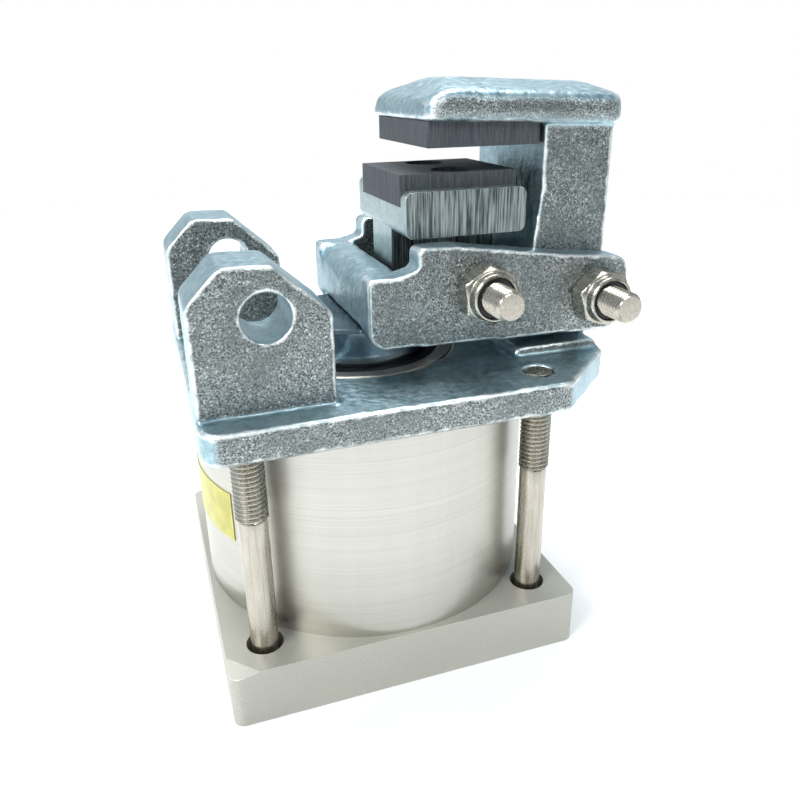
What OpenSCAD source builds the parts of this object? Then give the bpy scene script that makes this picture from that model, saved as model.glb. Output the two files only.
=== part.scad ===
// Lever clamp gripper: a spring-applied, air-released cylinder pushes a forked
// lever up, and the lever closes a lower jaw against a fixed upper jaw.
// Origin: centre of the base plate's underside. +Z up, +X towards the post.
// The two pivot pins lie along Y. Millimetres.

/* [Base plate] */
// Side of the square base plate
base_side = 120; // [118:1:130]
// Thickness of the base plate
base_t = 20; // [18:0.5:24]
// Distance between the tie bolts, centre to centre
bolt_pitch = 94; // [92:0.5:96]

/* [Cylinder] */
// Outside diameter of the barrel
barrel_od = 117; // [114:1:119]
// Bore of the barrel
bore_d = 100; // [98:1:102]
// Height of the barrel above the base plate
barrel_h = 70.5; // [70:0.5:74]
// Diameter of the plunger
plunger_d = 50; // [46:1:50]
// Thickness of the piston
piston_t = 20; // [19:0.5:21]

/* [Housing] */
// Thickness of the housing's flange
flange_t = 10; // [9:0.5:12]
// Outer width across the two ears
ear_width = 101; // [98:1:104]
// Thickness of each ear
ear_t = 22.5; // [18:0.5:23]
// Diameter of the hole through the ears
ear_hole_d = 14; // [10:0.5:16]
// Width of the post and of the lower jaw
post_w = 50; // [46:1:50]
// Width of the upper jaw
jaw_w = 56; // [52:1:60]

/* [Lever and jaws] */
// Outer width of the forked lever
lever_w = 70; // [68:1:74]
// Gap between the lever's two cheeks
fork_gap = 51; // [51:0.5:53]
// Length of the lower jaw
holder_l = 41; // [38:1:42]
// Opening between the pads when clamped
pad_gap = 7.7; // [6:0.1:8]

/* [Fasteners] */
// Thread diameter of the tie bolts and pivot bolts
bolt_d = 10; // [9.8:0.1:10.2]
// Width across flats of the nuts and bolt heads
hex_af = 17; // [16:0.5:18]
// Length of a pivot bolt under its head
pivot_bolt_l = 90; // [86:1:94]
// Length of a tie bolt under its head
tie_bolt_l = 90; // [89.5:0.1:90]

/* [Hidden] */
$fn = 64;
// Gap between faces that rest on each other
EPS = 0.02;

// Running gap in radius between a shaft and its hole
RUN = 0.04;
// Gap in radius between pieces that are fitted but do not move
FIT = 0.05;

// Heights up the stack
z_flange = base_t + barrel_h;
z_deck = z_flange + flange_t;
z_spigot_top = base_t + 6;
z_piston_top = z_flange - 10.5;
z_piston = z_piston_top - piston_t;
z_bush = z_piston_top + 0.3;
z_rod_top = z_deck + 12.5;
z_spring_low = base_t + 2;
z_spring_high = z_piston + 4;

// Radii of the cylinder
bore_r = bore_d / 2;
pilot_r = bore_r - 0.1;
rod_r = plunger_d / 2;
deck_hole_r = 33.5;

// Pivot axes, seen along Y
pin_lever = [73.5, z_deck + 19.2];
pin_jaw = [32.5, z_deck + 24.1];
pin_r = bolt_d / 2;
bush_r = pin_r + 2;

// Ears
ear_y = ear_width / 2 - ear_t;
ear_hole = [-38.2, z_deck + 27.5];

// Jaws and pads
z_seat_up = z_deck + 74.5;
pad_up_t = 7.8;
z_pad_up = z_seat_up - pad_up_t;
z_pad_low = z_pad_up - pad_gap;
pad_low_t = 9.8;
z_seat_low = z_pad_low - pad_low_t;
z_holder = z_seat_low - 9.2;
holder_x = 10.4;
lip_t = 5;
screw_y = 12;
screw_up_x = 37;
screw_low_x = 30.5;
half_pad = post_w / 2 - lip_t - 0.1;

// Springs
spring_count = 6;
spring_pcd_r = 33;
spring_r = 8.9;
spring_wire = 3.2;
spring_turns = 7;

// Corner radii
corner_r = 3.5;

// ---- Outlines ----

function unit(v) = v / norm(v);

// Arc that rounds the corner at p between a and b, as a list of points
function corner(a, p, b, r, steps = 5) =
    let (
        u = unit(a - p),
        v = unit(b - p),
        half = acos(u * v) / 2,
        mid = p + unit(u + v) * (r / sin(half)),
        t0 = p + u * (r / tan(half)) - mid,
        t1 = p + v * (r / tan(half)) - mid,
        a0 = atan2(t0[1], t0[0]),
        turn = atan2(t1[1], t1[0]) - a0,
        sweep = turn > 180 ? turn - 360 : turn < -180 ? turn + 360 : turn
    )
    [for (i = [0:steps]) mid + r * [cos(a0 + sweep * i / steps), sin(a0 + sweep * i / steps)]];

// Polygon whose corners [x, y, r] are each rounded by r
function rounded(pts) =
    let (n = len(pts))
    [for (i = [0:n - 1])
        let (
            q = pts[i],
            a = pts[(i + n - 1) % n],
            b = pts[(i + 1) % n]
        )
        each q[2] > 0
            ? corner([a[0], a[1]], [q[0], q[1]], [b[0], b[1]], q[2])
            : [[q[0], q[1]]]
    ];

function rectangle(x0, y0, x1, y1, r) =
    rounded([[x0, y0, r], [x1, y0, r], [x1, y1, r], [x0, y1, r]]);

// Prism of an X-Z outline, from y0 to y1
module side_plate(outline, y0, y1) {
    translate([0, y1, 0])
        rotate([90, 0, 0])
            linear_extrude(y1 - y0)
                polygon(outline);
}

// Cylinder along Y at an X-Z place, from y0 to y1
module pin(at, r, y0, y1) {
    translate([at[0], y1, at[1]])
        rotate([90, 0, 0])
            cylinder(r = r, h = y1 - y0);
}

// Hexagonal prism along Y at an X-Z place, turned by spin
module hex_pin(at, af, y0, y1, spin = 0) {
    translate([at[0], y1, at[1]])
        rotate([90, 0, 0])
            rotate([0, 0, spin])
                cylinder(d = af / cos(30), h = y1 - y0, $fn = 6);
}

// Tube from z0 to z1
module ring(r_out, r_in, z0, z1) {
    difference() {
        translate([0, 0, z0]) cylinder(r = r_out, h = z1 - z0);
        translate([0, 0, z0 - 1]) cylinder(r = r_in, h = z1 - z0 + 2);
    }
}

// Round cord ring, as an O-ring lies in its groove
module cord_ring(mid_r, cord_r, z) {
    translate([0, 0, z])
        rotate_extrude()
            translate([mid_r, 0])
                circle(r = cord_r);
}

module at_tie_bolts() {
    for (sx = [-1, 1], sy = [-1, 1])
        translate([sx * bolt_pitch / 2, sy * bolt_pitch / 2, 0])
            children();
}

module at_springs() {
    for (i = [0:spring_count - 1])
        rotate([0, 0, 360 * i / spring_count])
            translate([spring_pcd_r, 0, 0])
                children();
}

// ---- Base and cylinder ----

breather_z = 10;
breather_r = 4.4;

module base_plate() {
    head_hole_r = 9;
    head_hole_t = 10.3;
    half = base_side / 2;
    facet_reach = 6.7;
    facet_tilt = 16.6;
    color([0.76, 0.76, 0.73])
    difference() {
        union() {
            linear_extrude(base_t)
                polygon(rectangle(-half, -half, half, half, corner_r));
            translate([0, 0, base_t - 1]) cylinder(r = pilot_r, h = z_spigot_top - base_t + 1);
        }
        at_tie_bolts() {
            translate([0, 0, -1]) cylinder(r = 6, h = base_t + 2);
            translate([0, 0, -1]) cylinder(r = head_hole_r, h = head_hole_t + 1);
        }
        at_springs()
            translate([0, 0, z_spring_low]) cylinder(r = spring_r + 2.6, h = 10);
        ring(pilot_r + 1, pilot_r - 2.3, base_t + 1.6, base_t + 4.6);
        // Shallow facet where one top corner has been knocked off
        translate([-half, -half, base_t])
            rotate([0, 0, 45])
                translate([facet_reach, 0, 0])
                    rotate([0, -facet_tilt, 0])
                        translate([-20, -20, 0])
                            cube([20, 40, 8]);
        // Breather passage from the spring chamber to the rear edge
        translate([0, half + 1, breather_z]) rotate([90, 0, 0]) cylinder(r = breather_r + FIT, h = 11);
        translate([0, half - 9, breather_z]) rotate([90, 0, 0]) cylinder(r = 2, h = half - 9);
        translate([0, 0, breather_z - 4]) cylinder(r = 3, h = 30);
    }
}

port_z = z_piston_top + 3.4;
port_r = 4.4;
port_face = barrel_od / 2 - 1;
port_depth = 5.6;

module barrel() {
    color([0.74, 0.75, 0.74])
    difference() {
        ring(barrel_od / 2, bore_r, base_t, z_flange);
        // Flat, thread hole and passage of the air port
        translate([0, port_face + 10, port_z]) rotate([90, 0, 0]) cylinder(r = 7.5, h = 10);
        translate([0, port_face + 1, port_z]) rotate([90, 0, 0]) cylinder(r = port_r, h = port_depth + 1);
        translate([0, port_face, port_z]) rotate([90, 0, 0]) cylinder(r = 1.2, h = 12);
    }
}

module base_seal() {
    color([0.06, 0.06, 0.06]) cord_ring(pilot_r - 1.15, 1.1, base_t + 3.1);
}

module deck_seal() {
    color([0.06, 0.06, 0.06]) cord_ring(pilot_r - 1.15, 1.1, z_flange - 2.4);
}

module air_breather() {
    y_out = base_side / 2;
    color([0.72, 0.55, 0.30])
    difference() {
        union() {
            translate([0, y_out, breather_z]) rotate([90, 0, 0]) cylinder(r = breather_r, h = 8);
            translate([0, y_out + 3, breather_z]) rotate([90, 0, 0]) cylinder(r = 5.8, h = 3);
        }
        translate([0, y_out - 1, breather_z]) rotate([90, 0, 0]) cylinder(r = 2.2, h = 10);
    }
}

// ---- Housing casting: flange, ears, post and upper jaw are one piece of metal, parted where they meet ----

zinc = [0.62, 0.69, 0.71];

flange_outline = rounded([
    [-60, -60.5, 7], [51.5, -60.5, 4], [77.5, -36.5, 5],
    [77.5, 36.5, 5], [51.5, 60.5, 4], [-60, 60.5, 7]
]);

ear_outline = rounded([
    [-59.5, z_deck, 0], [-59.5, z_deck + 32, 4], [-49.8, z_deck + 42, 4],
    [-35.8, z_deck + 41.8, 4], [-19.7, z_deck + 27.3, 4], [-19.7, z_deck, 0]
]);

foot_outline = rounded([
    [44.8, z_deck, 0], [46, z_deck + 3.1, 1.5], [76, z_deck + 3.1, 2], [76.8, z_deck, 0]
]);

post_outline = rounded([
    [50, z_deck + 1, 0], [54.5, z_deck + 32, 6], [57, z_deck + 52, 6], [57, z_deck + 74.5, 0],
    [82, z_deck + 74.5, 0], [82, z_deck + 30, 6], [77, z_deck + 1, 0]
]);

foot_half = 34;
boss_r = 12;

// Upper jaw, level and starting at x = 0; it is then tipped down to the right
jaw_x = 16.5;
jaw_l = 67.6;
jaw_slope = 2.3;
jaw_side = rounded([
    [0, 0, 1.5], [jaw_l, 0, 3], [jaw_l, 8.5, 4], [jaw_l - 4, 12.9, 3], [13, 12.9, 3], [0, 5.6, 2]
]);
jaw_end = rounded([
    [-jaw_w / 2 + 1.5, 0, 1.5], [jaw_w / 2 - 1.5, 0, 1.5], [jaw_w / 2, 5, 4],
    [jaw_w / 2 - 1.5, 9, 2.5], [9, 12.9, 6],
    [-9, 12.9, 6], [-jaw_w / 2 + 1.5, 9, 2.5], [-jaw_w / 2, 5, 4]
]);

module jaw_blank() {
    translate([jaw_x, 0, z_seat_up])
        rotate([0, jaw_slope, 0])
            intersection() {
                side_plate(jaw_side, -jaw_w, jaw_w);
                translate([-1, 0, 0])
                    rotate([90, 0, 90])
                        linear_extrude(jaw_l + 2)
                            polygon(jaw_end);
                linear_extrude(20)
                    polygon(rectangle(-0.1, -jaw_w / 2 - 0.1, jaw_l, jaw_w / 2 + 0.1, 5));
            }
}

module deck_flange() {
    tap_r = pin_r + FIT;
    color(zinc)
    difference() {
        union() {
            translate([0, 0, z_flange]) linear_extrude(flange_t) polygon(flange_outline);
            ring(pilot_r, 40, z_flange - 5, z_flange + 1);
        }
        translate([0, 0, z_flange - 6]) cylinder(r = deck_hole_r, h = flange_t + 10);
        ring(pilot_r + 1, pilot_r - 2.3, z_flange - 3.9, z_flange - 0.9);
        at_tie_bolts()
            translate([0, 0, z_flange - 1]) cylinder(r = tap_r, h = flange_t + 0.9);
        translate([bolt_pitch / 2, bolt_pitch / 2, z_flange]) cylinder(r = tap_r, h = flange_t + 1);
        translate([bolt_pitch / 2, -bolt_pitch / 2, z_flange]) cylinder(r = tap_r, h = flange_t + 1);
    }
}

module clevis_ears() {
    color(zinc)
    for (side = [-1, 1])
        difference() {
            side_plate(ear_outline, min(side * ear_y, side * ear_width / 2), max(side * ear_y, side * ear_width / 2));
            pin(ear_hole, ear_hole_d / 2, -ear_width, ear_width);
        }
}

module jaw_post() {
    color(zinc)
    difference() {
        union() {
            side_plate(foot_outline, -foot_half, foot_half);
            side_plate(post_outline, -post_w / 2, post_w / 2);
            pin(pin_lever, boss_r, -post_w / 2, post_w / 2);
        }
        pin(pin_lever, bush_r + FIT, -post_w, post_w);
    }
}

module upper_jaw() {
    color(zinc)
    difference() {
        jaw_blank();
        side_plate(post_outline, -post_w / 2, post_w / 2);
        // Level seat for the upper pad, with its two screw holes
        translate([jaw_x - 1, -24.1, z_seat_up - 6]) cube([42.5, 48.2, 6]);
        for (sy = [-1, 1])
            translate([screw_up_x, sy * screw_y, z_seat_up - 1]) cylinder(r = 3 + FIT, h = 9);
    }
}

// ---- Cylinder internals ----

module guide_bush() {
    color([0.70, 0.71, 0.70])
    difference() {
        union() {
            ring(deck_hole_r - FIT, rod_r + RUN, z_bush, z_deck);
            ring(39, rod_r + RUN, z_flange - 4.6, z_flange - FIT);
        }
        ring(rod_r + 5, rod_r - 1, z_flange - 4, z_flange + 1);
        ring(deck_hole_r + 1, deck_hole_r - 2.4, z_flange + 2.6, z_flange + 5.4);
        ring(rod_r + 3.6, rod_r - 1, z_deck - 3.4, z_deck + 1);
    }
}

module bush_seal() {
    color([0.06, 0.06, 0.06]) cord_ring(deck_hole_r - 1.2, 1.1, z_flange + 4);
}

module rod_seal() {
    color([0.10, 0.11, 0.13])
    difference() {
        ring(rod_r + 4.9, rod_r + FIT, z_flange - 3.9, z_flange + 0.9);
        // Open lips towards the pressure
        ring(rod_r + 3.2, rod_r + 1.7, z_flange - 5, z_flange - 1.2);
    }
}

module rod_wiper() {
    color([0.16, 0.17, 0.19])
    difference() {
        ring(rod_r + 3.5, rod_r + FIT, z_deck - 3.3, z_deck + 0.1);
        ring(rod_r + 4, rod_r + 2.2, z_deck - 0.4, z_deck + 1);
    }
}

module piston() {
    color([0.72, 0.73, 0.74])
    difference() {
        translate([0, 0, z_piston]) cylinder(r = bore_r - 0.08, h = piston_t);
        translate([0, 0, z_piston_top - 2]) cylinder(r = rod_r + FIT, h = 4);
        translate([0, 0, z_piston - 1]) cylinder(r = pin_r + FIT, h = piston_t + 2);
        translate([0, 0, z_piston - 1]) cylinder(r = 9, h = 12);
        at_springs()
            translate([0, 0, z_spring_high - 10]) cylinder(r = spring_r + 2.6, h = 10);
        ring(bore_r + 1, bore_r - 5, z_piston + 12, z_piston + 17.2);
        ring(bore_r + 1, bore_r - 2.5, z_piston + 3.5, z_piston + 9.5);
    }
}

module piston_seal() {
    color([0.10, 0.11, 0.13])
    difference() {
        ring(bore_r - 0.06, bore_r - 4.9, z_piston + 12.1, z_piston + 17.1);
        ring(bore_r - 1.6, bore_r - 3.3, z_piston + 14.4, z_piston + 18);
    }
}

module wear_ring() {
    color([0.55, 0.42, 0.30]) ring(bore_r - 0.06, bore_r - 2.4, z_piston + 3.6, z_piston + 9.4);
}

module plunger() {
    color([0.30, 0.33, 0.37])
    difference() {
        union() {
            translate([0, 0, z_piston_top - 2 + FIT])
                cylinder(r = rod_r, h = z_rod_top - z_piston_top + 1);
            translate([0, 0, z_rod_top - 1 + FIT])
                cylinder(r1 = rod_r, r2 = rod_r - 1, h = 1 - FIT);
        }
        translate([0, 0, z_piston_top - 3]) cylinder(r = pin_r + FIT, h = 24);
    }
}

module plunger_screw() {
    head_z = z_piston + 1;
    color([0.15, 0.15, 0.16])
    difference() {
        union() {
            translate([0, 0, head_z]) cylinder(r = 8, h = 10 - FIT);
            translate([0, 0, head_z + 9]) cylinder(r = pin_r, h = 28);
        }
        translate([0, 0, head_z - 1]) cylinder(d = 8 / cos(30), h = 6, $fn = 6);
    }
}

// Round wire wound on a helix between two flats, as a swept tube of sides x rings
SIDES = 5;
RINGS = 8;
function coil_point(i, s, turns, z0, rise) =
    let (a = 360 * i / RINGS, b = 360 * s / SIDES, r = spring_r + spring_wire / 2 * cos(b))
    [r * cos(a), r * sin(a), z0 + rise * i / (RINGS * turns) + spring_wire / 2 * sin(b)];

module coil(turns, z0, z1) {
    n = RINGS * turns;
    rise = z1 - z0 - spring_wire;
    points = [for (i = [0:n], s = [0:SIDES - 1]) coil_point(i, s, turns, z0 + spring_wire / 2, rise)];
    skin = [for (i = [0:n - 1], s = [0:SIDES - 1])
        let (t = (s + 1) % SIDES)
        each [
            [i * SIDES + s, (i + 1) * SIDES + s, (i + 1) * SIDES + t],
            [i * SIDES + s, (i + 1) * SIDES + t, i * SIDES + t]
        ]];
    ends = [[for (s = [0:SIDES - 1]) s], [for (s = [SIDES - 1:-1:0]) n * SIDES + s]];
    polyhedron(points, concat(skin, ends));
}

module clamp_springs() {
    color([0.42, 0.44, 0.47])
    at_springs()
        coil(spring_turns, z_spring_low + 0.1, z_spring_high - 0.1);
}

// ---- Fasteners ----

module tie_bolts() {
    seat = 10.3;
    tip = seat + tie_bolt_l;
    thread = 34;
    color([0.62, 0.60, 0.56])
    at_tie_bolts()
        difference() {
            union() {
                translate([0, 0, seat - 10]) cylinder(r = 8, h = 10 - FIT);
                translate([0, 0, seat - 1]) cylinder(r = pin_r - 0.5, h = tie_bolt_l - thread + 1);
                translate([0, 0, tip - thread]) cylinder(r = pin_r, h = thread - 1);
                translate([0, 0, tip - 1]) cylinder(r1 = pin_r, r2 = pin_r - 1, h = 1);
            }
            translate([0, 0, seat - 11]) cylinder(d = 8 / cos(30), h = 6, $fn = 6);
        }
}

// Bolt along Y with its hexagon head at the rear
module pivot_bolt(at) {
    y_head = lever_w / 2 + FIT;
    y_tip = y_head - pivot_bolt_l;
    head_h = 6.4;
    color([0.62, 0.60, 0.56]) {
        hex_pin(at, hex_af, y_head, y_head + head_h, 15);
        pin(at, pin_r, y_tip + 1, y_head + 1);
        translate([at[0], y_tip + 1, at[1]])
            rotate([90, 0, 0])
                cylinder(r1 = pin_r, r2 = pin_r - 1, h = 1);
    }
}

module lever_bolt() {
    pivot_bolt(pin_lever);
}

module jaw_bolt() {
    pivot_bolt(pin_jaw);
}

nut_h = 10;
nut_hex_h = 7;
insert_r = 6.4;

module lock_nut(at, spin) {
    y0 = -lever_w / 2 - FIT;
    difference() {
        union() {
            hex_pin(at, hex_af, y0 - nut_hex_h, y0, spin);
            pin(at, 7.7, y0 - nut_h, y0 - nut_hex_h + 1);
        }
        pin(at, pin_r + RUN, y0 - nut_h - 1, y0 + 1);
        pin(at, insert_r, y0 - nut_h - 1, y0 - nut_hex_h);
    }
}

module lock_nuts() {
    color([0.64, 0.62, 0.58]) {
        lock_nut(pin_lever, 45);
        lock_nut(pin_jaw, 35);
    }
}

module nut_inserts() {
    y0 = -lever_w / 2 - nut_hex_h - 2 * FIT;
    color([0.08, 0.08, 0.09])
    for (at = [pin_lever, pin_jaw])
        difference() {
            pin(at, insert_r - FIT, y0 - 2.2, y0);
            pin(at, pin_r + RUN, y0 - 3, y0 + 1);
        }
}

module post_bushes() {
    color([0.66, 0.50, 0.27])
    for (side = [-1, 1])
        difference() {
            pin(pin_lever, bush_r, min(side * 7, side * post_w / 2), max(side * 7, side * post_w / 2));
            pin(pin_lever, pin_r + RUN, -post_w, post_w);
        }
}

// ---- Lever ----

lever_outline = rounded([
    [-5.3, z_deck + 8.6, 6], [8, z_deck + 8.1, 0], [79, z_deck + 6.2, 4], [85.5, z_deck + 9.5, 4],
    [85.5, z_deck + 31, 5.5], [62, z_deck + 33.4, 20], [24, z_deck + 38.9, 12], [10.9, z_deck + 39.1, 2],
    [10.9, z_deck + 32.6, 2], [4.5, z_deck + 30.8, 4], [-5.3, z_deck + 31, 2]
]);

bar_outline = rounded([
    [-5.3, z_deck + 12.7, 1], [8.5, z_deck + 12.7, 2], [8.5, z_deck + 30.5, 3], [-5.3, z_deck + 30.8, 7]
]);

module lever_cheeks() {
    half = lever_w / 2;
    inner = fork_gap / 2;
    color(zinc)
    for (side = [-1, 1])
        difference() {
            side_plate(lever_outline, min(side * inner, side * half), max(side * inner, side * half));
            pin(pin_lever, pin_r + FIT, -half - 1, half + 1);
            pin(pin_jaw, pin_r + FIT, -half - 1, half + 1);
        }
}

module lever_bar() {
    color(zinc) side_plate(bar_outline, -fork_gap / 2, fork_gap / 2);
}

// ---- Jaws and pads ----

module lower_jaw() {
    half = post_w / 2;
    hub_r = 9.5;
    lip_z = z_seat_low + 5;
    face = rounded([
        [holder_x, z_holder, 2.5], [holder_x + holder_l, z_holder, 2.5],
        [holder_x + holder_l, lip_z, 2.5], [holder_x, lip_z, 2.5]
    ]);
    rib = rounded([
        [holder_x + 0.2, z_holder + 3, 0], [holder_x + 0.2, z_holder - 12, 4], [pin_jaw[0] - 7, pin_jaw[1] - 7, 0],
        [pin_jaw[0] + 7, pin_jaw[1] - 7, 0], [47.5, z_holder - 12, 4], [47.5, z_holder + 3, 0]
    ]);
    color([0.63, 0.69, 0.70])
    difference() {
        union() {
            side_plate(face, -half, half);
            side_plate(rib, -10, 10);
            pin(pin_jaw, hub_r, -half, half);
        }
        translate([holder_x - 1, -half + lip_t, z_seat_low]) cube([holder_l + 2, 2 * (half - lip_t), 20]);
        pin(pin_jaw, bush_r + FIT, -half - 1, half + 1);
        for (sy = [-1, 1])
            translate([screw_low_x, sy * screw_y, z_holder - 1]) cylinder(r = 3 + FIT, h = 20);
    }
}

module jaw_bushes() {
    color([0.66, 0.50, 0.27])
    for (side = [-1, 1])
        difference() {
            pin(pin_jaw, bush_r, min(side * 7, side * post_w / 2), max(side * 7, side * post_w / 2));
            pin(pin_jaw, pin_r + RUN, -post_w, post_w);
        }
}

// Countersunk screw hole from z = 0 down, and the screw that lies in it
sink_r = 6.6;
sink_flat = 1.6;
sink_cone = 3.6;

module sink_hole(depth) {
    translate([0, 0, -sink_flat]) cylinder(r = sink_r, h = sink_flat + 1);
    translate([0, 0, -sink_flat - sink_cone]) cylinder(r1 = 3, r2 = sink_r, h = sink_cone);
    translate([0, 0, -depth]) cylinder(r = 3 + FIT, h = depth);
}

module sink_screw(length) {
    difference() {
        union() {
            translate([0, 0, -sink_flat - sink_cone + 0.2]) cylinder(r1 = 2.9, r2 = 6.3, h = sink_cone - 0.3);
            translate([0, 0, -length]) cylinder(r = 3, h = length - sink_flat - 0.5);
        }
        translate([0, 0, -sink_flat - 2.4]) cylinder(d = 4 / cos(30), h = 4, $fn = 6);
    }
}

module upper_pad() {
    color([0.17, 0.18, 0.20])
    difference() {
        translate([18, -24, z_pad_up]) cube([37.6, 48, pad_up_t - EPS]);
        for (sy = [-1, 1])
            translate([screw_up_x, sy * screw_y, z_pad_up]) rotate([180, 0, 0]) sink_hole(pad_up_t + 1);
    }
}

module upper_pad_screws() {
    color([0.24, 0.24, 0.25])
    for (sy = [-1, 1])
        translate([screw_up_x, sy * screw_y, z_pad_up]) rotate([180, 0, 0]) sink_screw(pad_up_t + 7);
}

module lower_pad() {
    color([0.17, 0.18, 0.20])
    difference() {
        translate([holder_x - 0.2, -half_pad, z_seat_low + EPS]) cube([40, 2 * half_pad, pad_low_t - EPS]);
        for (sy = [-1, 1])
            translate([screw_low_x, sy * screw_y, z_pad_low]) sink_hole(pad_low_t + 1);
    }
}

module lower_pad_screws() {
    color([0.24, 0.24, 0.25])
    for (sy = [-1, 1])
        translate([screw_low_x, sy * screw_y, z_pad_low]) sink_screw(pad_low_t + 8);
}

// Curved sheet on the left of the barrel
label_mid = 188.5;
label_span = 41;
label_z = base_t + 27.5;
label_h = 17.5;
module blank_label() {
    r = barrel_od / 2;
    reach = 80;
    color([0.72, 0.68, 0.30])
    intersection() {
        ring(r + 0.3, r + EPS, label_z, label_z + label_h);
        rotate([0, 0, label_mid])
            linear_extrude(z_deck)
                polygon([[0, 0], [reach, -reach * tan(label_span / 2)], [reach, reach * tan(label_span / 2)]]);
    }
}

base_plate();
barrel();
deck_flange();
clevis_ears();
jaw_post();
upper_jaw();
tie_bolts();
base_seal();
deck_seal();
guide_bush();
bush_seal();
rod_seal();
rod_wiper();
air_breather();
blank_label();
clamp_springs();
upper_pad();
upper_pad_screws();
post_bushes();
piston();
piston_seal();
wear_ring();
plunger();
plunger_screw();
lever_cheeks();
lever_bar();
lever_bolt();
jaw_bolt();
lock_nuts();
nut_inserts();
lower_jaw();
lower_pad();
lower_pad_screws();
jaw_bushes();
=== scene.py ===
"""Lever clamp gripper: cast skins, threads, finishes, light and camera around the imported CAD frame."""

import math

import bmesh
import bpy
import numpy as np
from mathutils import Matrix, Vector, noise


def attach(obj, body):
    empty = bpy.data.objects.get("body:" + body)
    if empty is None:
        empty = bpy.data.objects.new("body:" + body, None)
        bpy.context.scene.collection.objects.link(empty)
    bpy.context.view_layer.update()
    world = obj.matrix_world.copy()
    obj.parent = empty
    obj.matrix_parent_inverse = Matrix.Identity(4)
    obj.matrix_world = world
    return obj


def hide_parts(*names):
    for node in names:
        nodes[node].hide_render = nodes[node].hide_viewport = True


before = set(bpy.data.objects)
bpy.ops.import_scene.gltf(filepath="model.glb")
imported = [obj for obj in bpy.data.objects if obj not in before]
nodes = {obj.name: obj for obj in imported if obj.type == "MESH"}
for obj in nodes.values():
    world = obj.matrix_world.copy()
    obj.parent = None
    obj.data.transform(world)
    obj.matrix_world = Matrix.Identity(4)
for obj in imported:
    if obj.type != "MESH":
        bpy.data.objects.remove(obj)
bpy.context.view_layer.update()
MM = 0.001
# Points closer than this, in metres, are one point; faces closer in angle than this are one flat face
JOIN = 2e-6
FLAT = math.radians(0.6)

# ---------------------------------------------------------------- camera

PICTURE_SIDE = 800
FOCAL_PX = 754
SENSOR_MM = 36
CAMERA_AT = (-0.0672, -0.2450, 0.1864)
CAMERA_FORWARD = (0.301, 0.873, -0.383)
CAMERA_RIGHT = (0.944, -0.331, -0.013)

camera_data = bpy.data.cameras.new("camera")
camera_data.sensor_width = SENSOR_MM
camera_data.lens = SENSOR_MM * FOCAL_PX / PICTURE_SIDE
camera_data.shift_x = -0.0036
camera_data.shift_y = -0.0095
camera_data.clip_start = 0.01
camera = bpy.data.objects.new("camera", camera_data)
bpy.context.scene.collection.objects.link(camera)
back = -Vector(CAMERA_FORWARD).normalized()
right = Vector(CAMERA_RIGHT)
right = (right - right.dot(back) * back).normalized()
turn = Matrix((right, back.cross(right), back)).transposed()
camera.matrix_world = Matrix.Translation(CAMERA_AT) @ turn.to_4x4()
bpy.context.scene.camera = camera

# ---------------------------------------------------------------- materials


def tone(r, g, b):
    """A linear colour from display values between 0 and 255."""
    linear = [c / 255 / 12.92 if c <= 10 else ((c / 255 + 0.055) / 1.055) ** 2.4 for c in (r, g, b)]
    return (*linear, 1.0)


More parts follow.
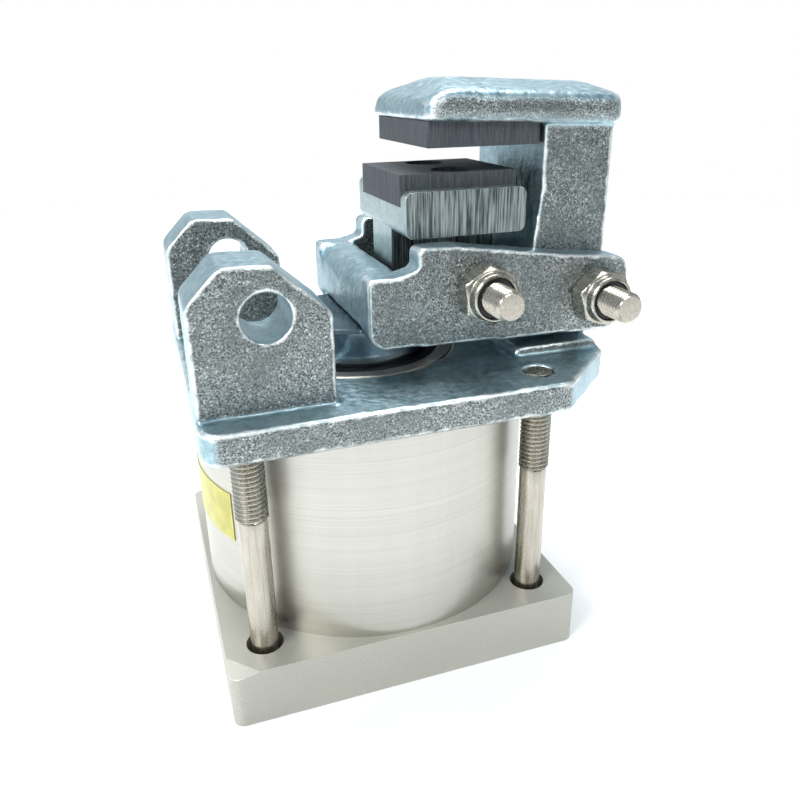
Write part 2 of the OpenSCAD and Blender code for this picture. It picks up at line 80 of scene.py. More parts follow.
class Finish:
    """A Principled surface in object coordinates, in metres."""

    def __init__(self, name, metallic=0.0, **fixed):
        self.mat = bpy.data.materials.new(name)
        self.mat.use_nodes = True
        self.tree = self.mat.node_tree
        self.tree.nodes.clear()
        self.shader = self.node("ShaderNodeBsdfPrincipled")
        out = self.node("ShaderNodeOutputMaterial")
        self.tree.links.new(self.shader.outputs[0], out.inputs["Surface"])
        self.shader.inputs["Metallic"].default_value = metallic
        for key, value in fixed.items():
            self.shader.inputs[key.replace("_", " ")].default_value = value
        place = self.node("ShaderNodeTexCoord")
        self.at = place.outputs["Object"]
        self.facing = place.outputs["Normal"]

    def node(self, kind, **settings):
        n = self.tree.nodes.new(kind)
        for key, value in settings.items():
            setattr(n, key, value)
        return n

    def put(self, socket, value):
        if isinstance(value, bpy.types.NodeSocket):
            self.tree.links.new(value, socket)
        else:
            socket.default_value = value

    def stretched(self, x, y, z):
        """Coordinates scaled on each axis, so that a pattern is drawn out where the factor is small."""
        n = self.node("ShaderNodeVectorMath", operation="MULTIPLY")
        self.put(n.inputs[0], self.at)
        self.put(n.inputs[1], (x, y, z))
        return n.outputs[0]

    def noise(self, scale, detail=2.0, rough=0.5, at=None):
        n = self.node("ShaderNodeTexNoise")
        self.put(n.inputs["Vector"], at or self.at)
        self.put(n.inputs["Scale"], scale)
        self.put(n.inputs["Detail"], detail)
        self.put(n.inputs["Roughness"], rough)
        return n.outputs["Fac"]

    def cells(self, scale, output="Distance"):
        n = self.node("ShaderNodeTexVoronoi")
        self.put(n.inputs["Vector"], self.at)
        self.put(n.inputs["Scale"], scale)
        return n.outputs[output]

    def math(self, operation, a, b=0.0):
        n = self.node("ShaderNodeMath", operation=operation)
        self.put(n.inputs[0], a)
        self.put(n.inputs[1], b)
        return n.outputs[0]

    def span(self, fac, low, high, to_low=0.0, to_high=1.0):
        """fac between low and high, mapped to another range and held inside it."""
        n = self.node("ShaderNodeMapRange")
        for i, value in enumerate((fac, low, high, to_low, to_high)):
            self.put(n.inputs[i], value)
        return n.outputs[0]

    def mix(self, fac, a, b):
        n = self.node("ShaderNodeMix", data_type="RGBA")
        self.put(n.inputs[0], fac)
        self.put(n.inputs[6], a)
        self.put(n.inputs[7], b)
        return n.outputs[2]

    def front_and_back(self):
        """1 on faces that look along -Y or +Y, 0 on the others."""
        n = self.node("ShaderNodeSeparateXYZ")
        self.put(n.inputs[0], self.facing)
        return self.span(self.math("ABSOLUTE", n.outputs["Y"]), 0.8, 0.97)

    def attribute(self, name):
        return self.node("ShaderNodeAttribute", attribute_name=name).outputs["Fac"]

    def done(self, colour, roughness, height=None, strength=0.5, distance=0.0001):
        self.put(self.shader.inputs["Base Color"], colour)
        self.put(self.shader.inputs["Roughness"], roughness)
        if height is not None:
            n = self.node("ShaderNodeBump")
            self.put(n.inputs["Strength"], strength)
            self.put(n.inputs["Distance"], distance)
            self.put(n.inputs["Height"], height)
            self.put(self.shader.inputs["Normal"], n.outputs[0])
        return self.mat


def cast_zinc():
    """Zinc plate on a casting: coarse grain with painted glints on its flat sides, satin blue elsewhere,
    rubbed edges with a painted highlight.
    """
    f = Finish("cast_zinc", metallic=0.96)
    side = f.front_and_back()
    grain = f.noise(1900, 2.5, 0.75)
    crystals_and_glints = f.cells(2100, output="Color")
    lumps = f.noise(420, 3, 0.6)
    patches = f.noise(60, 3, 0.55)
    unevenness = f.math("MULTIPLY", f.math("SUBTRACT", f.noise(260, 3), 0.5), 1.6)
    edge = f.span(f.math("ADD", f.attribute("edge"), unevenness), 0.5, 1.0)
    rough_face = f.mix(f.span(grain, 0.38, 0.62), tone(70, 73, 73), tone(168, 176, 175))
    # Painted glints: near-white specks on the grainy sides stand in for light sparkling off the crystals.
    rough_face = f.mix(f.span(crystals_and_glints, 0.78, 0.86, 0.0, 0.55), rough_face, tone(240, 244, 242))
    rough_face = f.mix(f.span(patches, 0.42, 0.64, 0.0, 0.55), rough_face, tone(102, 108, 108))
    satin = f.mix(f.span(lumps, 0.35, 0.65), tone(134, 162, 172), tone(168, 192, 200))
    satin = f.mix(f.span(patches, 0.42, 0.68, 0.0, 0.4), satin, tone(186, 204, 208))
    colour = f.mix(side, satin, rough_face)
    # Rubbed edges and painted highlight: convex edges are mixed towards near white, partly as worn bare
    # metal and partly as light caught on the rounded edges.
    colour = f.mix(f.math("MULTIPLY", edge, 0.85), colour, tone(236, 240, 238))
    roughness = f.mix(side, f.span(lumps, 0.3, 0.7, 0.3, 0.4), f.span(crystals_and_glints, 0.2, 0.8, 0.24, 0.46))
    fine = f.math("MULTIPLY", grain, f.span(side, 0.0, 1.0, 0.12, 0.5))
    return f.done(colour, roughness, f.math("ADD", fine, f.math("MULTIPLY", lumps, 0.8)), 0.8, 0.0005)


def drawn_zinc(name, brush, dark, light):
    """Smooth zinc plate; brush draws its marks out along one axis."""
    f = Finish(name, metallic=0.92)
    marks = f.noise(1.0, 2, 0.6, at=f.stretched(*brush))
    patches = f.noise(90, 3, 0.55)
    colour = f.mix(f.span(marks, 0.38, 0.62), dark, light)
    colour = f.mix(f.span(patches, 0.4, 0.7, 0.0, 0.15), colour, tone(176, 196, 196))
    roughness = f.span(marks, 0.3, 0.7, 0.28, 0.4)
    return f.done(colour, roughness, marks, 0.3, 0.0002)


def edge_metal_and_highlight(name, colour, roughness):
    """The bright line where plate or bare metal has been rubbed or chamfered, together with a painted
    highlight where light catches the edge.
    """
    f = Finish(name, metallic=0.95)
    rub = f.noise(900, 3, 0.6)
    shade = f.mix(f.span(rub, 0.35, 0.65), tuple(0.72 * c for c in colour[:3]) + (1.0,), colour)
    return f.done(shade, f.span(rub, 0.3, 0.7, roughness, roughness + 0.16), rub, 0.25, 0.00012)


def milled_alloy():
    """Satin milled and anodised plate."""
    f = Finish("milled_alloy", metallic=0.5)
    fine = f.noise(2600, 2, 0.6)
    mill = f.noise(1.0, 2, 0.5, at=f.stretched(60, 1500, 900))
    cloud = f.noise(28, 3, 0.5)
    colour = f.mix(f.span(fine, 0.35, 0.65), tone(166, 164, 154), tone(190, 188, 178))
    colour = f.mix(f.span(cloud, 0.4, 0.7, 0.0, 0.3), colour, tone(172, 172, 166))
    roughness = f.math("ADD", f.span(cloud, 0.3, 0.7, 0.36, 0.46), f.span(fine, 0.3, 0.7, 0.0, 0.08))
    return f.done(colour, roughness, f.math("ADD", fine, f.math("MULTIPLY", mill, 0.6)), 0.2, 0.00008)


def turned_alloy():
    """Turned barrel: very fine rings of tool marks round Z."""
    f = Finish("turned_barrel", metallic=0.9, Anisotropic=0.6)
    rings = f.noise(1.0, 2, 0.7, at=f.stretched(9, 9, 6500))
    bands = f.noise(1.0, 2, 0.5, at=f.stretched(14, 14, 900))
    down = f.noise(1.0, 2, 0.5, at=f.stretched(420, 420, 10))
    fine = f.noise(3000, 1, 0.5)
    colour = f.mix(f.span(rings, 0.3, 0.7), tone(176, 174, 165), tone(194, 192, 184))
    colour = f.mix(f.span(bands, 0.4, 0.66, 0.0, 0.05), colour, tone(150, 149, 140))
    colour = f.mix(f.span(down, 0.4, 0.66, 0.0, 0.07), colour, tone(212, 211, 205))
    roughness = f.math("ADD", f.span(bands, 0.3, 0.7, 0.3, 0.34), f.span(fine, 0.3, 0.7, 0.0, 0.05))
    tangent = f.node("ShaderNodeTangent", direction_type="RADIAL", axis="Z")
    f.put(f.shader.inputs["Tangent"], tangent.outputs[0])
    return f.done(colour, roughness, rings, 0.1, 0.00002)


def stainless(name, draw):
    """Cold-formed stainless: warm grey, with draw marks along the axis where draw is small."""
    f = Finish(name, metallic=1.0)
    streak = f.noise(1.0, 3, 0.6, at=f.stretched(*draw))
    fine = f.noise(2200, 2, 0.6)
    smudge = f.noise(90, 2, 0.5)
    colour = f.mix(f.span(streak, 0.35, 0.65), tone(166, 160, 148), tone(190, 185, 174))
    colour = f.mix(f.span(smudge, 0.45, 0.7, 0.0, 0.3), colour, tone(164, 156, 142))
    roughness = f.math("ADD", f.span(streak, 0.3, 0.7, 0.2, 0.3), f.span(fine, 0.3, 0.7, 0.0, 0.06))
    return f.done(colour, roughness, f.math("ADD", streak, fine), 0.08, 0.00004)


def ground_steel():
    """Hard-chromed plunger: dark, glossy, with faint rings."""
    f = Finish("ground_plunger", metallic=1.0)
    rings = f.noise(1.0, 2, 0.6, at=f.stretched(5, 5, 2400))
    smudge = f.noise(120, 3, 0.55)
    colour = f.mix(f.span(smudge, 0.35, 0.7), tone(112, 124, 134), tone(150, 162, 170))
    roughness = f.math("ADD", f.span(rings, 0.3, 0.7, 0.08, 0.16), f.span(smudge, 0.4, 0.7, 0.0, 0.1))
    return f.done(colour, roughness, rings, 0.12, 0.00004)


def lining():
    """Pressed friction lining: near black, striated down its cut sides and speckled."""
    f = Finish("pad_lining_face", Specular_IOR_Level=0.42)
    sawn = f.noise(1.0, 3, 0.65, at=f.stretched(1500, 1500, 90))
    speck = f.noise(1700, 2, 0.7)
    cloud = f.noise(120, 3, 0.6)
    colour = f.mix(f.span(sawn, 0.35, 0.68), tone(44, 47, 52), tone(78, 83, 88))
    colour = f.mix(f.span(cloud, 0.4, 0.7, 0.0, 0.4), colour, tone(56, 62, 70))
    colour = f.mix(f.span(speck, 0.66, 0.74, 0.0, 0.6), colour, tone(120, 126, 130))
    roughness = f.span(speck, 0.3, 0.7, 0.5, 0.68)
    return f.done(colour, roughness, f.math("ADD", sawn, speck), 0.3, 0.00015)


def blacked_steel():
    """Blacked screw steel, worn grey in places."""
    f = Finish("blacked_steel", metallic=0.8)
    fine = f.noise(1400, 2, 0.6)
    wear = f.noise(300, 3, 0.6)
    colour = f.mix(f.span(wear, 0.52, 0.72), tone(46, 47, 49), tone(96, 94, 92))
    return f.done(colour, f.span(fine, 0.3, 0.7, 0.36, 0.52), fine, 0.25, 0.00008)


def bronze():
    """Sintered bronze: small round grains."""
    f = Finish("sintered_bronze", metallic=0.9)
    balls = f.cells(2600)
    cloud = f.noise(260, 3, 0.6)
    colour = f.mix(f.span(balls, 0.1, 0.7), tone(196, 158, 96), tone(120, 90, 50))
    colour = f.mix(f.span(cloud, 0.45, 0.7, 0.0, 0.4), colour, tone(150, 128, 92))
    return f.done(colour, f.span(cloud, 0.3, 0.7, 0.34, 0.5), balls, -0.5, 0.00012)


def rubber(name, low, high, roughness=0.6):
    """Rubber or plastic in one shade with slight clouds."""
    f = Finish(name, Specular_IOR_Level=0.4)
    fine = f.noise(2200, 2, 0.6)
    cloud = f.noise(200, 3, 0.5)
    colour = f.mix(f.span(cloud, 0.35, 0.65), low, high)
    return f.done(colour, f.span(fine, 0.3, 0.7, roughness - 0.08, roughness + 0.08), fine, 0.2, 0.00006)


def label_film():
    """Plain yellow film, slightly crumpled, with a rubbed matt surface."""
    f = Finish("label_film_face", Specular_IOR_Level=0.45, Coat_Weight=0.25, Coat_Roughness=0.25)
    crease = f.noise(160, 3, 0.6)
    fine = f.noise(1800, 2, 0.6)
    colour = f.mix(f.span(crease, 0.35, 0.65), tone(168, 162, 66), tone(190, 184, 86))
    return f.done(colour, f.span(fine, 0.3, 0.7, 0.36, 0.5), crease, 0.3, 0.0003)


def spring_steel():
    """Drawn spring wire."""
    f = Finish("wound_spring", metallic=0.9)
    draw = f.noise(700, 3, 0.6)
    colour = f.mix(f.span(draw, 0.35, 0.65), tone(96, 99, 104), tone(140, 143, 147))
    return f.done(colour, f.span(draw, 0.3, 0.7, 0.3, 0.45), draw, 0.2, 0.0001)


ZINC = cast_zinc()
ZINC_PLAIN = drawn_zinc("rolled_zinc", (900, 900, 500), tone(158, 174, 174), tone(186, 200, 200))
ZINC_BRUSHED = drawn_zinc("brushed_zinc", (1900, 1900, 70), tone(62, 69, 70), tone(162, 171, 170))
# Painted highlight: this edge finish makes the zinc bevels bright, both as bare metal and as light caught
# on the edge.
ZINC_EDGE_AND_HIGHLIGHT = edge_metal_and_highlight("zinc_edge_and_highlight", tone(232, 236, 234), 0.22)
ALLOY = milled_alloy()
# Painted highlight: this edge finish makes the alloy bevels bright, both as the bare metal of the chamfer
# and as light caught on it.
ALLOY_EDGE_AND_HIGHLIGHT = edge_metal_and_highlight("alloy_edge_and_highlight", tone(236, 236, 230), 0.26)
BARREL = turned_alloy()
STAINLESS_Z = stainless("stainless_upright", (1300, 1300, 60))
STAINLESS_Y = stainless("stainless_across", (1300, 60, 1300))
PLUNGER = ground_steel()
LINING = lining()
BLACKED = blacked_steel()
BRONZE = bronze()
SEAL = rubber("seal_rubber_face", tone(20, 20, 21), tone(34, 34, 36))
NYLON = rubber("insert_nylon_face", tone(24, 25, 27), tone(44, 45, 48), 0.42)
WEAR_STRIP = rubber("bearing_strip", tone(128, 104, 78), tone(150, 124, 94), 0.5)
LABEL = label_film()
SPRING = spring_steel()

# ---------------------------------------------------------------- shapes


def new_object(name, mesh, *materials):
    for m in materials:
        mesh.materials.append(m)
    obj = bpy.data.objects.new(name, mesh)
    bpy.context.scene.collection.objects.link(obj)
    return obj


SHARP = math.radians(30)
CREASE = math.radians(32)


def sharpen(mesh):
    mesh.polygons.foreach_set("use_smooth", [True] * len(mesh.polygons))
    mesh.set_sharp_from_angle(angle=CREASE)


def settle(piece, body, slot, *replaced):
    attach(piece, body)
    if replaced:
        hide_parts(*replaced)
    return piece


def finish_node(node, material, edge=None, width=0.3, segments=2, front=None):
    """Gives a CAD node its surface, with front on its -Y faces, and breaks its sharp edges by width mm."""
    obj = nodes[node]
    obj.data.materials.clear()
    obj.data.materials.append(material)
    obj.data.polygons.foreach_set("material_index", [0] * len(obj.data.polygons))
    if not width:
        return obj
    obj.data.materials.append(edge or material)
    if front:
        obj.data.materials.append(front)
        for face in obj.data.polygons:
            if face.normal.y < -0.95:
                face.material_index = 2
    weld = obj.modifiers.new("join", "WELD")
    weld.merge_threshold = JOIN
    flat = obj.modifiers.new("flats", "DECIMATE")
    flat.decimate_type = "DISSOLVE"
    flat.angle_limit = FLAT
    flat.delimit = {"MATERIAL"}
    bevel = obj.modifiers.new("edges", "BEVEL")
    bevel.width = width * MM
    bevel.segments = segments
    bevel.limit_method = "ANGLE"
    bevel.angle_limit = SHARP
    bevel.use_clamp_overlap = True
    bevel.miter_outer = "MITER_ARC"
    bevel.harden_normals = False
    # The bevels take the edge finish, which carries a painted highlight line.
    if edge:
        bevel.material = 1
    weighted = obj.modifiers.new("shade", "WEIGHTED_NORMAL")
    weighted.keep_sharp = True
    return obj


# ---- castings


def evaluated(obj):
    graph = bpy.context.evaluated_depsgraph_get()
    return bpy.data.meshes.new_from_object(obj.evaluated_get(graph), depsgraph=graph)


def points_of(mesh):
    at = np.empty(len(mesh.vertices) * 3, dtype=np.float32)
    mesh.vertices.foreach_get("co", at)
    return at.reshape(-1, 3)


def normals_of(mesh):
    normal = np.empty(len(mesh.vertices) * 3, dtype=np.float32)
    mesh.vertex_normals.foreach_get("vector", normal)
    return normal.reshape(-1, 3)


def ends_of(mesh):
    ends = np.empty(len(mesh.edges) * 2, dtype=np.int32)
    mesh.edges.foreach_get("vertices", ends)
    return ends.reshape(-1, 2).T


EDGE_REACH = 2
EDGE_BEND = 320


def edge_mask(mesh):
    """How far each point stands on a convex edge, from 0 on a flat to 1, as the attribute edge."""
    n = len(mesh.vertices)
    at, normal = points_of(mesh), normals_of(mesh)
    a, b = ends_of(mesh)
    step = at[b] - at[a]
    bend = ((normal[b] - normal[a]) * step).sum(1) / np.maximum((step * step).sum(1), 1e-12)
    count = np.bincount(a, minlength=n) + np.bincount(b, minlength=n)
    mean = (np.bincount(a, bend, n) + np.bincount(b, bend, n)) / count
    for _ in range(EDGE_REACH):
        mean = (mean + (np.bincount(a, mean[b], n) + np.bincount(b, mean[a], n)) / count) / 2
    mask = mesh.attributes.new("edge", "FLOAT", "POINT")
    mask.data.foreach_set("value", np.clip(mean / EDGE_BEND, 0, 1))


def relax(mesh, share, rounds):
    """Rounds the mesh off further where share, one value a point, is above 0."""
    n = len(mesh.vertices)
    at = points_of(mesh).astype(np.float64)
    a, b = ends_of(mesh)
    count = np.bincount(a, minlength=n) + np.bincount(b, minlength=n)
    for _ in range(rounds):
        for axis in range(3):
            line = at[:, axis]
            mean = (np.bincount(a, line[b], n) + np.bincount(b, line[a], n)) / count
            at[:, axis] = line + share * (mean - line) / 2
    mesh.vertices.foreach_set("co", at.astype(np.float32).ravel())
    mesh.update()


# Height of a casting's lumps in millimetres, and how many lumps there are to a metre
LUMP = 0.16
COARSE = 170
FINE = 620
FIRST_ROUNDS = 5


def casting(parts, name, body, voxel, calm, soft, soft_rounds, plugs=()):
    """One rounded, uneven skin over a casting's CAD nodes.

    It is machined and true where calm says so, and rounder where soft does. voxel is in millimetres.
    """
    bm = bmesh.new()
    for node in parts:
        bm.from_mesh(nodes[node].data)
    bmesh.ops.remove_doubles(bm, verts=bm.verts, dist=JOIN)
    for x, y, z_low, z_high, r in plugs:
        middle = Matrix.Translation((x * MM, y * MM, (z_low + z_high) / 2 * MM))
        height = (z_high - z_low) * MM
        bmesh.ops.create_cone(
            bm, cap_ends=True, segments=32, radius1=r * MM, radius2=r * MM, depth=height, matrix=middle)
    mesh = bpy.data.meshes.new(name)
    bm.to_mesh(mesh)
    bm.free()
    blank = new_object(name + "_blank", mesh)
    skin = blank.modifiers.new("skin", "REMESH")
    skin.mode = "VOXEL"
    skin.voxel_size = voxel * MM
    smooth = blank.modifiers.new("soft", "SMOOTH")
    smooth.factor = 0.5
    smooth.iterations = FIRST_ROUNDS
    mesh = evaluated(blank)
    bpy.data.objects.remove(blank)
    mesh.materials.clear()
    relax(mesh, np.array([soft(Vector(p) / MM) for p in points_of(mesh).tolist()]), soft_rounds)
    at, normal = points_of(mesh), normals_of(mesh)
    rise = np.zeros((len(at), 1))
    for i, p in enumerate(at.tolist()):
        p = Vector(p)
        if not calm(p / MM):
            low = noise.noise(p * COARSE) * LUMP
            fine = noise.noise(p * FINE + Vector((7, 3, 5))) * LUMP * 0.4
            rise[i] = min(low + fine - LUMP * 0.5, 0) * MM
    mesh.vertices.foreach_set("co", (at + normal * rise).ravel())
    mesh.update()
    mesh.polygons.foreach_set("use_smooth", [True] * len(mesh.polygons))
    edge_mask(mesh)
    piece = new_object(name, mesh, ZINC)
    return settle(piece, body, "zinc_casting", *parts)


TIE_AT = 47.0
LEVER_PIN = (73.5, 119.7)
JAW_PIN = (32.5, 124.6)
EAR_HOLE = (-38.2, 128.0)


def near(p, pin, r):
    return math.hypot(p.x - pin[0], p.z - pin[1]) < r


def housing_calm(p):
    bored = near(p, LEVER_PIN, 13) or near(p, EAR_HOLE, 7.6)
    under = p.z < 90.9 or (math.hypot(p.x, p.y) < 35 and p.z < 101)
    seat = 174.6 < p.z < 175.4 and 15 < p.x < 57 and abs(p.y) < 25
    return bored or under or seat


def lever_calm(p):
    return near(p, LEVER_PIN, 9.5) or near(p, JAW_PIN, 9.5) or (abs(p.y) < 26 and p.z < 113.8)


def upper_jaw_soft(p):
    """The jaw's nose and crown are blended by hand; its seat face isn't."""
    return min(max((p.z - 177.2) / 1.5, 0.0), 1.0)


def lever_bar_soft(p):
    """The bar across the lever's far end is nearly half round."""
    return min(max((6.0 - p.x) / 4, 0.0), 1.0) * min(max((27.0 - abs(p.y)) / 3, 0.0), 1.0)


# The two blind bolt holes leave a film of metal that is thinner than a voxel
BLIND_HOLES = [(-TIE_AT, side * TIE_AT, 97.5, 100.5, 6.0) for side in (-1, 1)]
HOUSING = ("deck_flange", "clevis_ears", "jaw_post", "upper_jaw")

casting(HOUSING, "housing_casting", "frame", 0.8, housing_calm, upper_jaw_soft, 22, BLIND_HOLES)
casting(("lever_cheeks", "lever_bar"), "lever_casting", "lever_arm", 0.7, lever_calm, lever_bar_soft, 26)

# ---- fasteners


def loft(rings, closed=False):
    """A skin through rings of equally many points; a loft that isn't closed gets flat ends."""
    bm = bmesh.new()
    made = [[bm.verts.new(p) for p in ring] for ring in rings]
    pairs = list(zip(made, made[1:])) + ([(made[-1], made[0])] if closed else [])
    for low, high in pairs:
        for i in range(len(low)):
            j = (i + 1) % len(low)
            bm.faces.new((low[i], low[j], high[j], high[i]))
    if not closed:
        bm.faces.new(reversed(made[0]))
        bm.faces.new(made[-1])
    bmesh.ops.remove_doubles(bm, verts=bm.verts, dist=1e-3)
    bmesh.ops.dissolve_degenerate(bm, edges=bm.edges, dist=1e-4)
    bmesh.ops.recalc_face_normals(bm, faces=bm.faces)
    return bm


def ring_points(radius_at, z, count):
    """One ring; radius_at is a number or a function of the angle."""
    out = []
    for i in range(count):
        a = 2 * math.pi * i / count
        r = radius_at(a) if callable(radius_at) else radius_at
        out.append(Vector((r * math.cos(a), r * math.sin(a), z)))
    return out


def hexagon(across_flats, turn_by=0.0):
    """Radius of a hexagon as a function of the angle, with a corner at turn_by."""
    sixth = math.pi / 3
    return lambda a: across_flats / 2 / math.cos((a - turn_by) % sixth - sixth / 2)


THREAD_FORM = ((0.0, 1.0), (0.11, 1.0), (0.43, 0.09), (0.5, 0.0), (0.61, 0.0), (0.68, 0.09))


THREAD_DEPTH = 0.61
THREAD_TAPER = 1.0


def thread_rings(r, z0, z1, pitch, count, r_low, r_high):
    """Rings along a helix from z0 to z1. r_low and r_high are the radii where it is cut off."""
    depth = THREAD_DEPTH * pitch
    rings = []
    for k in range(-1, math.ceil((z1 - z0) / pitch) + 1):
        for phase, crest in THREAD_FORM:
            ring = []
            for i in range(count):
                a = 2 * math.pi * i / count
                z = z0 + (k + phase + i / count) * pitch
                here = r - depth * (1 - crest)
                here = min(here, r_high + (z1 - z) * (r - r_high) / THREAD_TAPER)
                if z <= z0:
                    z, here = z0, r_low
                elif z >= z1:
                    z, here = z1, r_high
                ring.append(Vector((here * math.cos(a), here * math.sin(a), z)))
            rings.append(ring)
    return rings


def dome(rings, r, z, rise, count):
    """Closes a bolt end with a very slightly crowned disc."""
    for share in (1 / 3, 2 / 3):
        rings.append(ring_points(r * (1 - share), z + rise * (1 - (1 - share) ** 2), count))
    return rings


SEGMENTS = 48
HEX_SEGMENTS = 72
BOLT_R = 4.97
PITCH = 1.5


def place(bm, matrix):
    bmesh.ops.transform(bm, matrix=matrix, verts=bm.verts)
    return bm


def to_mesh(bms, name):
    """Several bmeshes in millimetres as one mesh in metres."""
    whole = bmesh.new()
    for bm in bms:
        part = bpy.data.meshes.new("part")
        bm.to_mesh(part)
        bm.free()
        whole.from_mesh(part)
        bpy.data.meshes.remove(part)
    bmesh.ops.scale(whole, vec=(MM, MM, MM), verts=whole.verts)
    mesh = bpy.data.meshes.new(name)
    whole.to_mesh(mesh)
    whole.free()
    sharpen(mesh)
    return mesh


TIE_SEAT, TIE_TIP, TIE_THREAD = 10.3, 100.3, 34.0


def tie_bolt():
    """Socket-head bolt, head down in the counterbore; its shank is thinner than its thread."""
    socket = hexagon(8)
    key = ring_points(socket, TIE_SEAT - 9.2, SEGMENTS)
    mouth = ring_points(5.0, TIE_SEAT - 10, SEGMENTS)
    rings = [
        ring_points(0.4, TIE_SEAT - 5.2, SEGMENTS), ring_points(socket, TIE_SEAT - 5, SEGMENTS), key, mouth,
        ring_points(7.3, TIE_SEAT - 10, SEGMENTS), ring_points(7.8, TIE_SEAT - 9.8, SEGMENTS),
        ring_points(7.95, TIE_SEAT - 9.3, SEGMENTS), ring_points(7.95, TIE_SEAT - 0.6, SEGMENTS),
        ring_points(7.6, TIE_SEAT - 0.1, SEGMENTS), ring_points(5.2, TIE_SEAT - 0.06, SEGMENTS),
        ring_points(4.6, TIE_SEAT + 0.5, SEGMENTS), ring_points(4.47, TIE_SEAT + 1.2, SEGMENTS),
    ]
    top = TIE_TIP - TIE_THREAD
    shank = top - TIE_SEAT - 1.6
    rings += [ring_points(4.47, TIE_SEAT + 1.2 + shank * i / 6, SEGMENTS) for i in range(1, 7)]
    rings += thread_rings(BOLT_R, top, TIE_TIP - 0.1, PITCH, SEGMENTS, r_low=4.3, r_high=4.0)
    dome(rings, 4.0, TIE_TIP - 0.1, 0.06, SEGMENTS)
    return loft(rings)


bolts = [
    place(tie_bolt(), Matrix.Translation((sx * TIE_AT, sy * TIE_AT, 0)) @ Matrix.Rotation(spin, 4, "Z"))
    for sx, sy, spin in ((-1, -1, 0.4), (1, -1, 1.9), (-1, 1, 3.0), (1, 1, 4.4))
]
piece = new_object("tie_bolt_set", to_mesh(bolts, "tie_bolt_set"), STAINLESS_Z)
settle(piece, "frame", "stainless", "tie_bolts")

CHEEK = 35.0
HEX_AF = 17.0
BOLT_LENGTH = 90.0
PIVOT_THREAD = 26
CHAMFER_STEPS = 5


def chamfered(across, z0, z1, face_r, bottom, top, turn_by):
    """Rings of a hexagonal prism whose corners are turned off at 30 degrees where bottom or top asks."""
    outline = hexagon(across, turn_by)
    corner = across / 2 / math.cos(math.pi / 6)
    fall = (corner - face_r) * math.tan(math.radians(30))
    rings = []
    for ends, z_end, way in ((bottom, z0, 1), (top, z1, -1)):
        steps = [fall * s / CHAMFER_STEPS for s in range(CHAMFER_STEPS + 1)] if ends else [0.0]
        slices = []
        for step in steps:
            limit = face_r + step / math.tan(math.radians(30)) if ends else corner + 1
            turned = lambda a, most=limit: min(outline(a), most)
            slices.append(ring_points(turned, z_end + way * step, HEX_SEGMENTS))
        rings += slices if way == 1 else slices[::-1]
    return rings


def pivot_bolt(spin):
    """Hexagon bolt along Z: head from 0 to 6.4, then the shank and thread down to its tip."""
    head = chamfered(HEX_AF, 0.45, 6.35, 8.15, False, True, spin)
    washer_profile = ((4.9, 0.02), (8.0, 0.02), (8.1, 0.12), (8.1, 0.44))
    washer = [ring_points(r, z, HEX_SEGMENTS) for r, z in washer_profile]
    crown = [ring_points(r, z, HEX_SEGMENTS) for r, z in ((8.0, 6.36), (6.4, 6.3), (6.2, 6.16), (0.5, 6.1))]
    shank_end = -(BOLT_LENGTH - PIVOT_THREAD)
    rod = [ring_points(4.96, 0.6, SEGMENTS), ring_points(4.96, shank_end + 0.5, SEGMENTS)]
    tip = thread_rings(BOLT_R, -shank_end, BOLT_LENGTH - 0.12, PITCH, SEGMENTS, r_low=4.4, r_high=4.0)
    dome(tip, 4.0, BOLT_LENGTH - 0.12, 0.1, SEGMENTS)
    # The thread is built upwards and turned over, so that it stays right-handed
    flip = Matrix.Rotation(math.pi, 4, "X")
    tip = [[flip @ p for p in ring] for ring in tip]
    return [loft(washer + head + crown), loft(rod), loft(tip)]


def lock_nut(spin):
    """Nut along Z from its seat at 0: chamfered hexagon, then a rolled collar round the insert."""
    rings = [ring_points(5.03, 0.35, HEX_SEGMENTS), ring_points(5.5, 0.0, HEX_SEGMENTS)]
    rings += chamfered(HEX_AF, 0.0, 6.9, 8.1, True, True, spin)
    profile = [(7.95, 6.95), (7.72, 7.25), (7.66, 7.7), (7.68, 8.9), (7.5, 9.5), (7.1, 9.88), (6.75, 9.95),
               (6.5, 9.85), (6.42, 9.5), (6.4, 7.05), (5.5, 7.02), (5.03, 6.7), (5.03, 3.0)]
    rings += [ring_points(r, z, HEX_SEGMENTS) for r, z in profile]
    return loft(rings, closed=True)


def along_y(pin, y, towards):
    """Puts a Z-built piece on a pivot pin at y, its +Z towards -Y or +Y."""
    quarter = Matrix.Rotation(math.radians(90 if towards < 0 else -90), 4, "X")
    return Matrix.Translation((pin[0], y, pin[1])) @ quarter


for label, pin, spin in (("lever_bolt", LEVER_PIN, 0.5), ("jaw_bolt", JAW_PIN, 0.2)):
    parts = [place(bm, along_y(pin, CHEEK + 0.05, 1)) for bm in pivot_bolt(spin)]
    piece = new_object(label + "_threaded", to_mesh(parts, label), STAINLESS_Y)
    settle(piece, "lever_arm", "stainless", label)

nuts = [
    place(lock_nut(math.radians(spin)), along_y(pin, -CHEEK - 0.05, -1))
    for pin, spin in ((LEVER_PIN, 45), (JAW_PIN, 35))
]
piece = new_object("lock_nut_pair", to_mesh(nuts, "lock_nut_pair"), STAINLESS_Y)
settle(piece, "lever_arm", "stainless", "lock_nuts")

# ---------------------------------------------------------------- CAD nodes that keep their shape

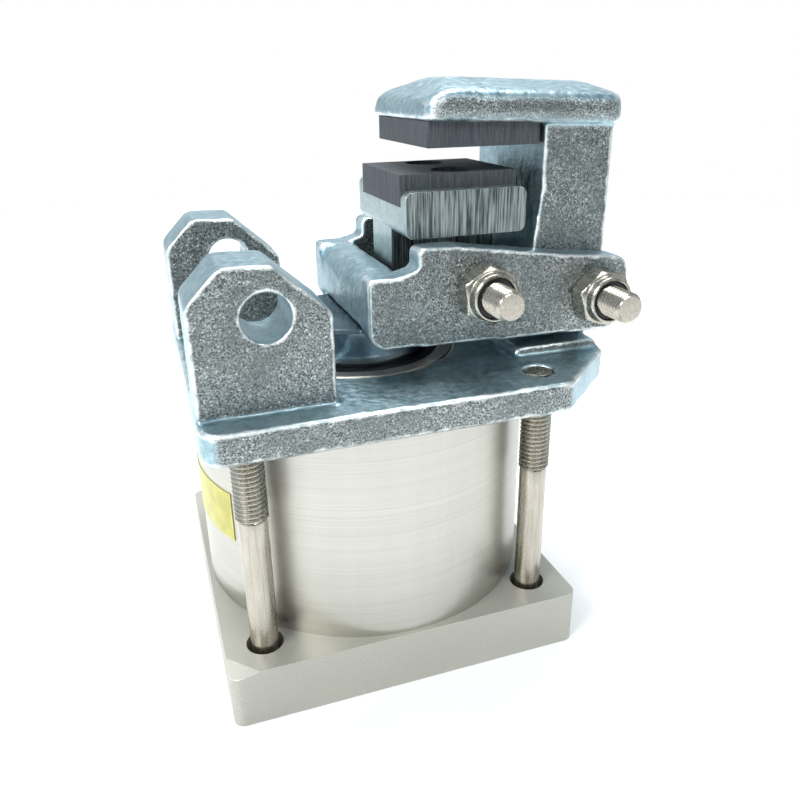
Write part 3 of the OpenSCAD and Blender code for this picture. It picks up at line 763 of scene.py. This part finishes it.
# Bevels in an edge finish carry a painted highlight line as well as bare metal.
finish_node("base_plate", ALLOY, ALLOY_EDGE_AND_HIGHLIGHT, 0.45)
finish_node("barrel", BARREL, ALLOY_EDGE_AND_HIGHLIGHT, 0.35)
finish_node("plunger", PLUNGER, None, 0.25)
finish_node("lower_jaw", ZINC_PLAIN, ZINC_EDGE_AND_HIGHLIGHT, 0.55, 3, front=ZINC_BRUSHED)
finish_node("upper_pad", LINING, None, 0.25)
finish_node("lower_pad", LINING, None, 0.25)
finish_node("upper_pad_screws", BLACKED, None, 0.12)
finish_node("lower_pad_screws", BLACKED, None, 0.12)
finish_node("guide_bush", BARREL, None, 0.2)
finish_node("rod_wiper", SEAL, None, 0.15)
finish_node("rod_seal", SEAL, None, 0.1)
finish_node("air_breather", BRONZE, None, 0.3)
finish_node("blank_label", LABEL, None, 0)
finish_node("nut_inserts", NYLON, None, 0.25)
finish_node("post_bushes", BRONZE, None, 0.2)
finish_node("jaw_bushes", BRONZE, None, 0.2)
finish_node("piston", BARREL, None, 0.3)
finish_node("piston_seal", SEAL, None, 0.15)
finish_node("wear_ring", WEAR_STRIP, None, 0.15)
finish_node("plunger_screw", BLACKED, None, 0.2)
finish_node("base_seal", SEAL, None, 0)
finish_node("deck_seal", SEAL, None, 0)
finish_node("bush_seal", SEAL, None, 0)
finish_node("clamp_springs", SPRING, None, 0)

# ---------------------------------------------------------------- floor, light and world


FLOOR_R = 1.15


def floor():
    bm = bmesh.new()
    bmesh.ops.create_circle(bm, cap_ends=True, radius=FLOOR_R, segments=96)
    mesh = bpy.data.meshes.new("floor")
    bm.to_mesh(mesh)
    bm.free()
    f = Finish("pale_floor", Specular_IOR_Level=0.3)
    paper = f.noise(40, 3, 0.5)
    colour = f.mix(f.span(paper, 0.3, 0.7), (0.90, 0.90, 0.905, 1), (0.93, 0.93, 0.93, 1))
    obj = new_object("floor", mesh, f.done(colour, f.span(paper, 0.3, 0.7, 0.5, 0.6)))


def softbox(name, at, aim, size, watts, colour=(1, 1, 1)):
    data = bpy.data.lights.new(name, "AREA")
    data.shape = "RECTANGLE"
    data.size, data.size_y = size
    data.energy = watts
    data.color = colour
    obj = bpy.data.objects.new(name, data)
    bpy.context.scene.collection.objects.link(obj)
    obj.location = at
    obj.rotation_euler = (Vector(aim) - Vector(at)).to_track_quat("-Z", "Y").to_euler()


# Light from each side of the room
FRONT = (0.20, 0.23, 0.25, 1)
BACK = (0.66, 0.72, 0.76, 1)
LEFT = (0.80, 0.88, 0.94, 1)
RIGHT = (0.62, 0.66, 0.68, 1)
OVERHEAD = (0.30, 0.38, 0.43, 1)


def surroundings():
    """White to the camera; as light, bright at the left and back and darker in front and overhead."""
    world = bpy.data.worlds.new("studio")
    bpy.context.scene.world = world
    world.use_nodes = True
    tree = world.node_tree
    tree.nodes.clear()

    def node(kind, **settings):
        n = tree.nodes.new(kind)
        for key, value in settings.items():
            setattr(n, key, value)
        return n

    def put(socket, value):
        if isinstance(value, bpy.types.NodeSocket):
            tree.links.new(value, socket)
        else:
            socket.default_value = value

    def span(fac, low, high, to_low, to_high):
        n = node("ShaderNodeMapRange", interpolation_type="SMOOTHSTEP")
        for i, value in enumerate((fac, low, high, to_low, to_high)):
            put(n.inputs[i], value)
        return n.outputs[0]

    def mix(fac, a, b, blend="MIX"):
        n = node("ShaderNodeMix", data_type="RGBA", blend_type=blend)
        for i, value in ((0, fac), (6, a), (7, b)):
            put(n.inputs[i], value)
        return n.outputs[2]

    split = node("ShaderNodeSeparateXYZ")
    put(split.inputs[0], node("ShaderNodeTexCoord").outputs["Generated"])
    x, y, z = split.outputs
    round_about = mix(span(y, -0.75, 0.55, 0.0, 1.0), FRONT, BACK)
    round_about = mix(span(x, -0.35, -0.85, 0.0, 1.0), round_about, LEFT)
    round_about = mix(span(x, 0.45, 0.9, 0.0, 1.0), round_about, RIGHT)
    sky = mix(span(z, 0.42, 0.8, 0.0, 1.0), round_about, OVERHEAD)
    room, plain = node("ShaderNodeBackground"), node("ShaderNodeBackground")
    put(room.inputs["Color"], sky)
    put(plain.inputs["Color"], (1, 1, 1, 1))
    put(plain.inputs["Strength"], 1.0)
    both = node("ShaderNodeMixShader")
    put(both.inputs[0], node("ShaderNodeLightPath").outputs["Is Camera Ray"])
    put(both.inputs[1], room.outputs[0])
    put(both.inputs[2], plain.outputs[0])
    put(node("ShaderNodeOutputWorld").inputs["Surface"], both.outputs[0])


floor()
softbox("key_left", (-1.0, -0.5, 1.0), (0, 0, 0.09), (0.6, 0.5), 16)
softbox("top_back", (0.1, 0.5, 1.4), (0, 0, 0.08), (1.0, 0.6), 24)
softbox("front_strip", (0.35, -0.9, 1.0), (0, 0, 0.09), (0.5, 0.12), 5)
surroundings()
bpy.context.scene.view_settings.view_transform = "Standard"
